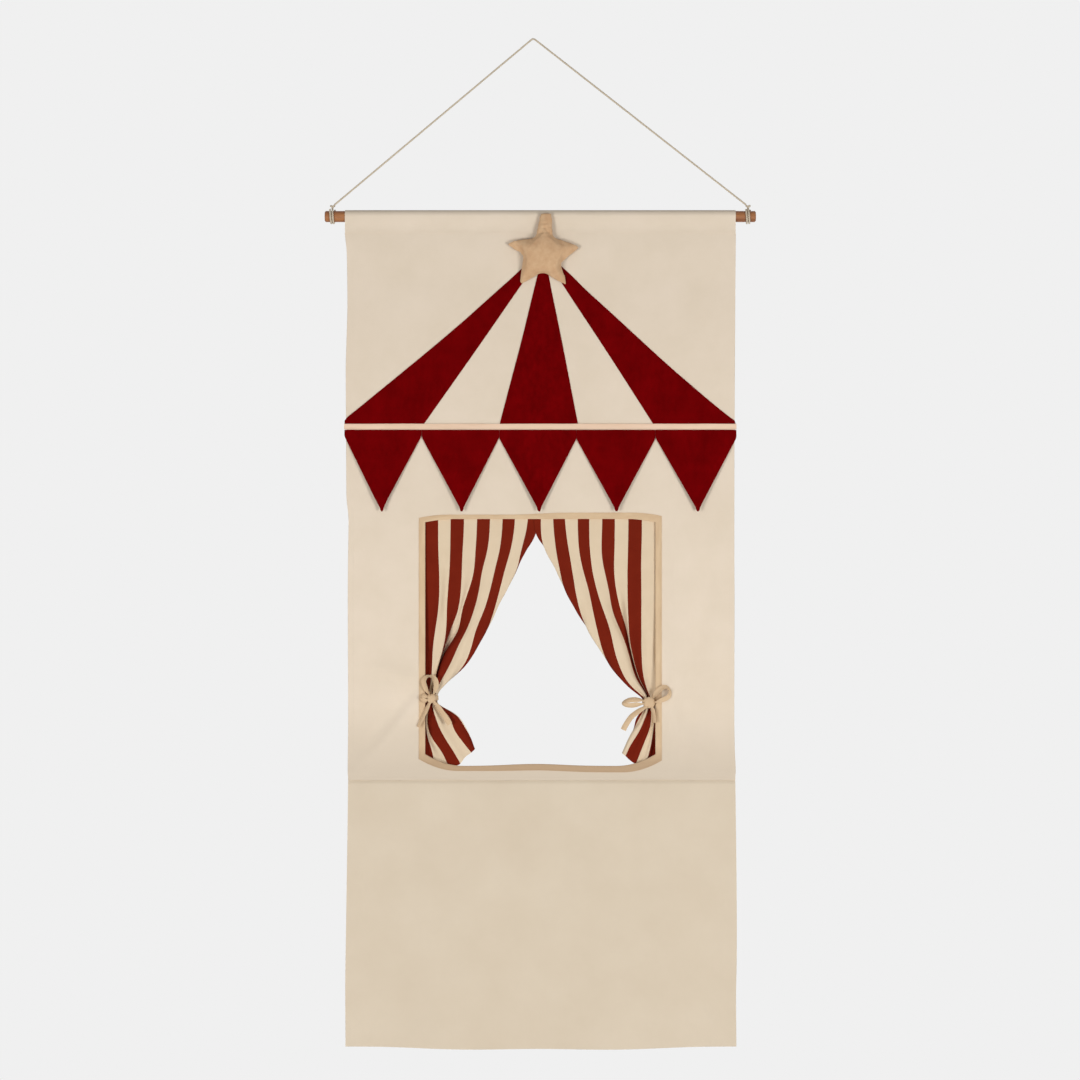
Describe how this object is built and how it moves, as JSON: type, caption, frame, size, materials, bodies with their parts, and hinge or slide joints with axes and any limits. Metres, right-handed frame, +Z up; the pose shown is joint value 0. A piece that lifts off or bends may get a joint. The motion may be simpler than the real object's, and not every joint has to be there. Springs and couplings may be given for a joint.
{
  "type": "puppet theater stand",
  "caption": "Hanging cloth puppet theatre: canvas panel on a wooden rod and cord, with a velvet circus roof, pennants, stuffed star and a bound window with tied-back striped curtains.",
  "frame": {"origin": "where the cord rests on the hook that holds it, at the top of the part", "axes": "+X to the right of a viewer in front, the decorated front faces -Y, the puppeteer stands on the +Y side, +Z up; the rod hangs level along X below the origin"},
  "size_m": [0.85, 0.0556, 1.995],
  "materials": {
    "cotton_cord": "matte twisted cotton",
    "rod_wood": "bare turned hardwood, matte",
    "upper_canvas": "matte cotton canvas, natural",
    "lower_canvas": "matte cotton canvas, natural",
    "red_velvet": "short-pile velvet",
    "ribbon_tape": "matte woven tape",
    "bias_tape": "matte folded cotton tape",
    "striped_cotton": "woven stripes, matte",
    "star_velour": "short-pile velour over stuffing"
  },
  "bodies": {
    "hanger": {"hanging_cord": "cotton_cord", "cord_winding_left": "cotton_cord", "cord_winding_right": "cotton_cord", "cord_knot_left": "cotton_cord", "cord_knot_right": "cotton_cord"},
    "rod": {"wooden_rod": "rod_wood"},
    "panel": {"rod_pocket": "upper_canvas", "upper_panel": "upper_canvas", "waist_seam_strip": "lower_canvas", "roof_wedge_left": "red_velvet", "roof_wedge_middle": "red_velvet", "roof_wedge_right": "red_velvet", "roof_ribbon": "ribbon_tape", "window_binding_left": "bias_tape", "window_binding_top": "bias_tape", "window_binding_right": "bias_tape", "window_binding_bottom": "bias_tape", "left_curtain": "striped_cotton", "right_curtain": "striped_cotton", "left_tie_band": "bias_tape", "left_bow_knot": "bias_tape", "left_bow_loop_upper": "bias_tape", "left_bow_loop_outer": "bias_tape", "left_bow_tail_inner": "bias_tape", "left_bow_tail_outer": "bias_tape", "right_tie_band": "bias_tape", "right_bow_knot": "bias_tape", "right_bow_loop_inner": "bias_tape", "right_bow_loop_outer": "bias_tape", "right_bow_tail_inner": "bias_tape", "right_bow_tail_outer": "bias_tape"},
    "pennant_1": {"pennant_1": "red_velvet"},
    "pennant_2": {"pennant_2": "red_velvet"},
    "pennant_3": {"pennant_3": "red_velvet"},
    "pennant_4": {"pennant_4": "red_velvet"},
    "pennant_5": {"pennant_5": "red_velvet"},
    "star": {"star_cushion": "star_velour"},
    "lower_panel": {"lower_panel": "lower_canvas"}
  },
  "joints": [
    {"name": "rod_turn", "type": "hinge", "parent": "hanger", "child": "rod", "pos_m": [0.014, 0, -0.35], "axis": [-1, 0, 0], "range_deg": [-25, 25]},
    {"name": "panel_slide", "type": "slide", "parent": "rod", "child": "panel", "axis": [1, 0, 0], "range_m": [-0.017, 0.017]},
    {"name": "pennant_1_lift", "type": "hinge", "parent": "panel", "child": "pennant_1", "pos_m": [-0.2956, -0.0034, -0.7708], "axis": [-1, 0, 0], "range_deg": [0, 150]},
    {"name": "pennant_2_lift", "type": "hinge", "parent": "panel", "child": "pennant_2", "pos_m": [-0.1408, -0.0034, -0.7708], "axis": [-1, 0, 0], "range_deg": [0, 150]},
    {"name": "pennant_3_lift", "type": "hinge", "parent": "panel", "child": "pennant_3", "pos_m": [0.014, -0.0034, -0.7708], "axis": [-1, 0, 0], "range_deg": [0, 150]},
    {"name": "pennant_4_lift", "type": "hinge", "parent": "panel", "child": "pennant_4", "pos_m": [0.1688, -0.0034, -0.7708], "axis": [-1, 0, 0], "range_deg": [0, 150]},
    {"name": "pennant_5_lift", "type": "hinge", "parent": "panel", "child": "pennant_5", "pos_m": [0.3236, -0.0034, -0.7708], "axis": [-1, 0, 0], "range_deg": [0, 150]},
    {"name": "star_lift", "type": "hinge", "parent": "panel", "child": "star", "pos_m": [0.019, -0.0131, -0.3474], "axis": [-1, 0, 0], "range_deg": [0, 70]},
    {"name": "lower_panel_fold", "type": "hinge", "parent": "panel", "child": "lower_panel", "pos_m": [0.014, 0.0012, -1.46325], "axis": [-1, 0, 0], "range_deg": [-80, 80]}
  ]
}
